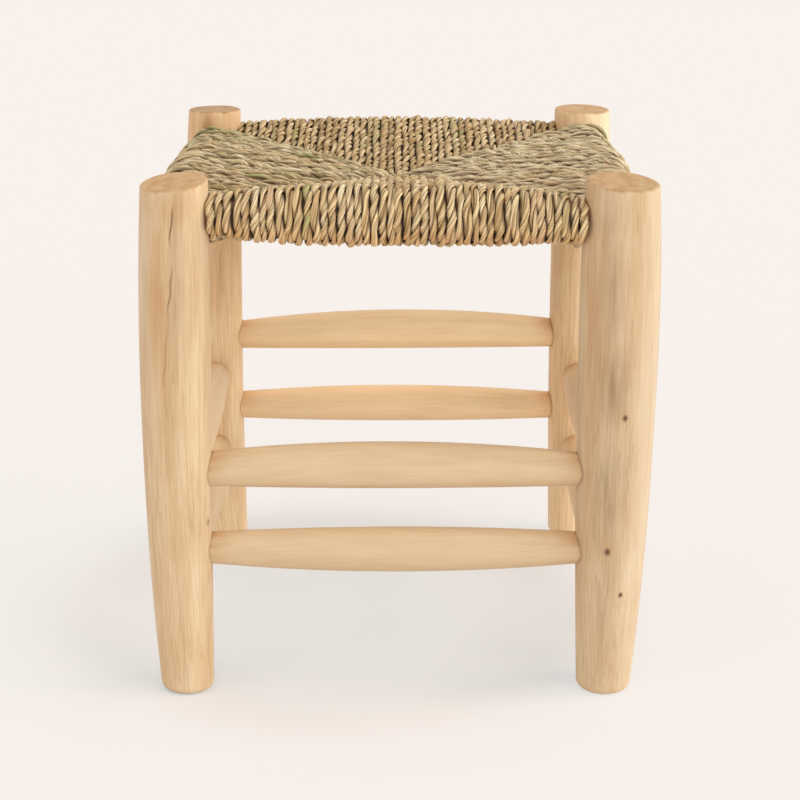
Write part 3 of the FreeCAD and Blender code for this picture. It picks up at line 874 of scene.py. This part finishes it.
def hairpin(seam_reach, top, under, rail, wrap):
    """Centre line of one cord in its own plane: x inwards from the rail, y up.

    It comes up out of the seam, runs out over the rail, round it, and back
    along the underside to dive into the lower seam."""
    bend_start = seam_reach - SEAM_BEND
    top_edge, under_edge = (bend_start, top), (bend_start, under)
    top_touch = tangent_degrees(top_edge, rail, wrap, up=True)
    under_touch = tangent_degrees(under_edge, rail, wrap, up=False)
    return np.concatenate([
        run_between((seam_reach, top - SEAM_DIVE), (seam_reach, top - SEAM_BEND)),
        arc_between((bend_start, top - SEAM_BEND), SEAM_BEND, 0, 90),
        run_between(top_edge, point_on(rail, wrap, top_touch)),
        arc_between(rail, wrap, top_touch, 360 + under_touch),
        run_between(point_on(rail, wrap, under_touch), under_edge),
        arc_between((bend_start, under + SEAM_BEND), SEAM_BEND, -90, 0),
        run_between((seam_reach, under + SEAM_BEND), (seam_reach, under + SEAM_DIVE)),
    ])


def evenly(points, step):
    """The same line with evenly spaced points, and the distance run at each."""
    runs = np.r_[0, np.cumsum(np.linalg.norm(np.diff(points, axis=0), axis=1))]
    count = max(4, round(runs[-1] / step))
    places = np.linspace(0, runs[-1], count + 1)
    return np.stack([np.interp(places, runs, column) for column in points.T], -1), places


class Field:
    """One triangular field of the seat: its rail, and the path of a cord anywhere along it."""

    def __init__(self, side):
        self.side = side
        self.along_axis, self.outward_axis = (np.array(axis, float) for axis in SIDES[side])
        body = rail_rings(side)[1:-1]
        if self.along_axis.sum() < 0:
            body = body[::-1]
        _places, centres, radii = columns_of(body)
        places = centres @ self.along_axis
        self.outward = curve_through(places, centres @ self.outward_axis, degree=1)
        self.rail_radius = curve_through(places, radii, degree=2)
        self.rail_level = centres[0][2]
        self.start, self.finish = places[0] - FIELD_OVERRUN, places[-1] + FIELD_OVERRUN
        self.cords = round((places[-1] - places[0]) / CORD_DIAMETER)
        self.middle_along = MIDDLE @ self.along_axis
        self.middle_outward = MIDDLE @ self.outward_axis

    def path_sizes(self, along):
        """Sizes of the cord's path at a place along the rail: where it turns, and what it turns round."""
        from_corner = HALF - abs(along - self.middle_along)
        reach = self.outward(along) - self.middle_outward
        seam = max(reach - from_corner, 0) + SEAM_PLAY
        share = seam / HALF
        top = LEG_TOP - SEAT_MIDDLE_DROP + (SEAT_MIDDLE_DROP - SEAT_CORNER_DROP) * share
        top += SEAT_CROWN * 4 * share * (1 - share)
        under = LEG_TOP - UNDERSIDE_MIDDLE_DROP - (UNDERSIDE_CORNER_DROP - UNDERSIDE_MIDDLE_DROP) * share
        run_share = (along - self.start) / (self.finish - self.start)
        near_start = fade(along - self.start, PILE_REACH)
        near_finish = fade(self.finish - along, PILE_REACH)
        pile_up, pile_out, start_pile, finish_pile = PILES[self.side]
        end_pile = start_pile * near_start + finish_pile * near_finish
        pile = pile_up * min(1.0, (reach - seam) / PILE_REACH) + end_pile
        bulge = 1 - (2 * run_share - 1) ** 2
        sag = 0.0
        if self.side == "front":
            sag = FRONT_SAG + FRONT_FINISH_SAG * run_share ** FRONT_SAG_POWER
            sag -= FRONT_START_RISE * near_start
        rail = (max(end_pile, 0.0) / 2 - pile_out * bulge, self.rail_level + (pile - sag) / 2)
        wrap = self.rail_radius(along) + (pile + sag) / 2
        return reach - seam, top + SEAM_PILE_SHARE * pile, under - sag, rail, wrap

    def placed(self, shifts, along, line):
        """A path in the seat's space. shifts is where its points lie along the rail."""
        outward, level = self.outward(along) - line[:, :1], line[:, 1:]
        return np.reshape(shifts, (-1, 1)) * self.along_axis + outward * self.outward_axis + level * UP


class Strand:
    """One cord from seam to seam: its centre line, the turn of its plies and its colours."""

    def __init__(self, field, cord, first_edge, last_edge, seed, dice):
        self.side = field.side
        along = (first_edge + last_edge) / 2
        self.diameter = (last_edge - first_edge) * CORD_FILL
        reach, top, under, rail, wrap = field.path_sizes(along)
        half = CORD_DIAMETER / 2
        line, self.run = evenly(hairpin(reach, top - half, under + half, rail, wrap + half), PLY_STEP)
        sway = waves(SWAY_SEED + seed, SWAYS)(self.run)
        lift = waves(LIFT_SEED + seed, LIFTS[self.side])(self.run)
        stray = waves(TURN_SEED + seed, TURNS)(self.run)
        centre = field.placed(along + sway, along, line)
        tangent = unit(np.gradient(centre, axis=0))
        self.lateral = unit(field.along_axis - (tangent @ field.along_axis)[:, None] * tangent)
        self.inward = np.cross(self.lateral, tangent)
        self.centre = centre - self.inward * lift[:, None]
        lay = CORD_LAY * dice.uniform(*LAY_SHARES[self.side])
        phase = dice.uniform(0, math.tau)
        self.turns = phase + math.tau * self.run / lay + stray
        self.tone = dice.gauss(SIDE_TONES[self.side], CORD_TONE_SPREAD)
        self.tip = TIP_DEPTH * fade(self.run - self.run[np.argmin(line[:, 0] + line[:, 1])], TIP_REACH)
        self.choose_colours((cord + 0.5) / field.cords)

    def choose_colours(self, share):
        """Warmth and chance of green. share is where the cord lies in its field, 0 to 1."""
        self.green_chance = GREEN_CHANCE[self.side]
        if self.side == "left" and share < LEFT_GREEN_SHARE:
            self.green_chance += LEFT_GREEN_CHANCE
        self.warmth = 0.0
        if self.side in ("right", "left"):
            from_front = share if self.side == "right" else 1 - share
            self.warmth = max(0.0, 1 - from_front / WARM_REACH)


def green_of(strand, dice):
    """Strength of green along a ply, 0 to 1."""
    run = strand.run
    green = SIDE_GREENS[strand.side] * dice.uniform(*SIDE_GREEN_SHARES) + 0.0 * run
    if dice.random() < strand.green_chance:
        middle, length = dice.uniform(0, run[-1] * GREEN_PLACE_SHARE), dice.uniform(*GREEN_LENGTHS)
        green = green + dice.uniform(*GREEN_DEPTHS) * fade(run - middle, length)
    return np.minimum(green, 1)


def blush_of(strand, dice):
    """Strength of pink of a ply, 0 to 1."""
    blushes = dice.random() < BLUSH_CHANCE + WARM_BLUSH * strand.warmth
    return dice.uniform(*BLUSH_DEPTHS) if blushes else 0.0


def add_ply(piece, strand, turns, box, dice):
    """One of the two plies of a cord, a leafy tube that winds round the cord's centre line."""
    run, diameter = strand.run, strand.diameter
    away = np.cos(turns)[:, None] * strand.inward + np.sin(turns)[:, None] * strand.lateral
    swell = 1 + waves(dice.random(), SWELLS)(run)
    path = strand.centre + away * (diameter * PLY_OFFSET_SHARE * swell)[:, None]
    tangent = unit(np.gradient(path, axis=0))
    away = unit(away - (away * tangent).sum(axis=1)[:, None] * tangent)
    sideways = np.cross(tangent, away)
    angle = circle_of_angles(PLY_SIDES)
    crease = sum(depth * np.cos(count * angle + turn * run[:, None] + dice.uniform(0, CREASE_PHASE))
                 for depth, count, turn in CREASES)
    radial = diameter * PLY_RADIAL_SHARE * swell[:, None] * (1 + crease) * np.cos(angle)
    tangential = diameter * PLY_TANGENT_SHARE * swell[:, None] * (1 + crease) * np.sin(angle)
    rings = (path[:, None, :] + radial[:, :, None] * away[:, None, :]
             + tangential[:, :, None] * sideways[:, None, :])
    vectors = np.stack([radial, tangential, run[:, None] + 0 * angle], axis=-1)
    green = green_of(strand, dice)
    crest = ((strand.centre[:, None, :] - rings) * strand.inward[:, None, :]).sum(axis=2) / (diameter / 2)
    gap_start, gap_reach = GAP_SHARES[strand.side]
    gap = np.clip((1 - gap_start - crest) / gap_reach, 0, 1)
    piece.add_tube(rings, box, vectors, {
        "seed": dice.random(),
        "tone": strand.tone + dice.gauss(0, PLY_TONE_SPREAD) - WARM_SHADE * strand.warmth,
        "green": np.repeat(green, PLY_SIDES),
        "tip": np.repeat(strand.tip, PLY_SIDES),
        "blush": blush_of(strand, dice),
        "crease_and_gap_shade": np.maximum(np.clip(-crease / CREASE_DEEP, 0, 1) * CREASE_DARKNESS, gap),
        "core_shade": 0.0,
    })


def add_core(piece, field):
    """The stuffing and crossing cords inside a field, just under its outer cords."""
    rings = []
    for along in np.linspace(field.start + CORE_SINK, field.finish - CORE_SINK, CORE_SECTIONS):
        reach, top, under, rail, wrap = field.path_sizes(along)
        line = hairpin(reach - CORE_SINK / 2, top - CORE_SINK, under + CORE_SINK, rail,
                       wrap + CORD_DIAMETER - CORE_SINK)
        places = np.linspace(0, len(line) - 1, CORE_CORNERS)
        line = np.stack([np.interp(places, np.arange(len(line)), column) for column in line.T], -1)
        rings.append(field.placed(along, along, line))
    rings = np.array(rings)[:, ::-1]
    # The core takes the near-black painted shade of the cord material.
    piece.add_tube(rings, CORE_BOX, rings, {
        "seed": 0.5, "tone": CORE_TONE, "green": 0.0, "tip": 0.0, "blush": 0.0, "crease_and_gap_shade": 0.0,
        "core_shade": 1.0})


def make_field(side, material, number):
    """One triangular field of the seat: cord beside cord, each a hairpin round the rail."""
    field = Field(side)
    dice = random.Random(FIELD_SEED + number)
    widths = np.array([dice.uniform(*CORD_WIDTH_SHARES) for _cord in range(field.cords)])
    edges = field.start + (field.finish - field.start) * np.r_[0, np.cumsum(widths)] / widths.sum()
    halves = [Piece(f"{side}_cords_{half}") for half in HALF_NAMES[side]]
    half_cords = (field.cords + 1) // 2
    strips = 2 * half_cords + 1
    for cord in range(field.cords):
        strand = Strand(field, cord, edges[cord], edges[cord + 1], SIDE_SEED_STEP * number + cord, dice)
        for ply in range(2):
            low = (2 * (cord % half_cords) + ply) / strips
            box = (0, low, strand.run[-1] / LONGEST_CORD, low + STRIP_SHARE / strips)
            add_ply(halves[cord // half_cords], strand, strand.turns + ply * math.pi, box, dice)
    add_core(halves[0], field)
    for piece in halves:
        made = piece.build(material, f"{side}_seat_weave")


# Stage: floor, lights and camera

FLOOR_SIZE = 40000.0
BACKGROUND = srgb(247, 241, 236)

# How much of the seen floor's colour takes shade, in red, green and blue: the light that the
# stool throws on the floor is warm, and the photograph's shadow is not.
FLOOR_SHADE_SHARES = (1.0, 0.69, 0.59)

# How much of that shade the floor takes by its distance from the middle of the pool of shadow,
# as a share of the pool's reach. The middle and the reach are in metres.
POOL_MIDDLE = (-0.06, -0.015, 0.0)
POOL_REACH = 0.4
POOL_SHADE = (
    (0.0, 0.6), (0.3, 0.67), (0.44, 0.88), (0.53, 1.0),
    (0.58, 0.9), (0.65, 0.6), (0.74, 0.36), (0.84, 0.25),
)

# Strength of each soft lamp, its height and its turn from the front to the right, in degrees.
SUNS = (
    (1.53, 15, 90),
    (0.71, 15, 50),
    (0.5, 15, 0),
    (0.26, 30, -60),
)
SUN_SPREAD_DEGREES = 35

# Strength of the white light from all round, and the share that the backdrop gives instead.
WORLD_STRENGTH = 0.64
BACKDROP_LIGHT_SHARE = 0.5

# Camera, as fitted to the photograph: a level camera pitched down at the seat. It sees as far
# as CAMERA_REACH, in metres.
CAMERA_PLACE = (0.63, -1598.5, 709.4)
CAMERA_PITCH_DEGREES = 17.885
CAMERA_SENSOR = 36.0
CAMERA_LENS = 85.6
CAMERA_SHIFT = 0.001
CAMERA_REACH = 100


def background_share(shares):
    """The background's colour with its red, green and blue each scaled by a share."""
    return (*[part * share for part, share in zip(BACKGROUND, shares)], 1.0)


def make_floor():
    mesh = bpy.data.meshes.new("floor")
    half = FLOOR_SIZE / 2 * MM
    corners = [(-half, -half, 0), (half, -half, 0), (half, half, 0), (-half, half, 0)]
    mesh.from_pydata(corners, [], [(0, 1, 2, 3)])
    shader = Shader(bpy.data.materials.new("studio_floor"))
    matte = shader.node("BsdfDiffuse", Color=BACKGROUND)
    shade = background_share(FLOOR_SHADE_SHARES)
    glow = background_share([1 - share for share in FLOOR_SHADE_SHARES])
    position = shader.node("NewGeometry").outputs["Position"]
    away = shader.vector("DISTANCE", "Value", _0=position, _1=POOL_MIDDLE)
    pool = shader.ramp(shader.math("DIVIDE", away, POOL_REACH),
                       [(place, (value, value, value, 1.0)) for place, value in POOL_SHADE])
    seen_shade = shader.node("BsdfDiffuse", Color=shader.mix(pool, (0.0, 0.0, 0.0, 1.0), shade))
    seen_glow = shader.node("Emission", Color=shader.mix(pool, BACKGROUND, glow), Strength=1.0)
    seen_floor = shader.node("AddShader", _0=seen_shade.outputs[0], _1=seen_glow.outputs[0])
    blend = shader.node("MixShader", _0=shader.seen(), _1=matte.outputs[0], _2=seen_floor.outputs[0])
    mesh.materials.append(shader.show(blend))
    floor = add_object("floor", mesh)


def make_lights():
    for number, (strength, height, turn) in enumerate(SUNS):
        lamp = bpy.data.lights.new(f"sun_{number}", "SUN")
        lamp.energy = strength
        lamp.angle = math.radians(SUN_SPREAD_DEGREES)
        made = add_object(f"sun_{number}", lamp)
        made.rotation_euler = (math.radians(90 - height), 0, math.radians(turn))


def make_world():
    """Pale light from all round, which a camera, a mirror or glass sees as the backdrop."""
    shader = Shader(bpy.data.worlds.new("studio"), "World")
    share = shader.math("MAXIMUM", shader.seen(), BACKDROP_LIGHT_SHARE)
    light = shader.node("Background", Color=(1.0, 1.0, 1.0, 1.0), Strength=WORLD_STRENGTH)
    backdrop = shader.node("Background", Color=BACKGROUND, Strength=1.0)
    blend = shader.node("MixShader", _0=share, _1=light.outputs[0], _2=backdrop.outputs[0])
    bpy.context.scene.world = shader.show(blend)


def make_camera():
    data = bpy.data.cameras.new("camera")
    data.sensor_width = CAMERA_SENSOR
    data.lens = CAMERA_LENS
    data.shift_x = CAMERA_SHIFT
    data.clip_end = CAMERA_REACH
    camera = add_object("camera", data)
    camera.location = [place * MM for place in CAMERA_PLACE]
    camera.rotation_euler = (math.radians(90 - CAMERA_PITCH_DEGREES), 0, 0)
    bpy.context.scene.camera = camera


# The whole stool

bpy.context.scene.view_settings.view_transform = "Standard"
make_camera()
make_floor()
make_lights()
make_world()
wood = wood_material()
cord = cord_material()
for number, leg in enumerate(LEGS):
    make_leg(leg, wood, number)
kinds = ("upper_stretcher", "lower_stretcher", "seat_rail")
sticks = [f"{side}_{kind}" for side in SIDES for kind in kinds]
for number, stick in enumerate(sticks):
    make_stick(stick, wood, number)
for number, side in enumerate(SIDES):
    make_field(side, cord, number)
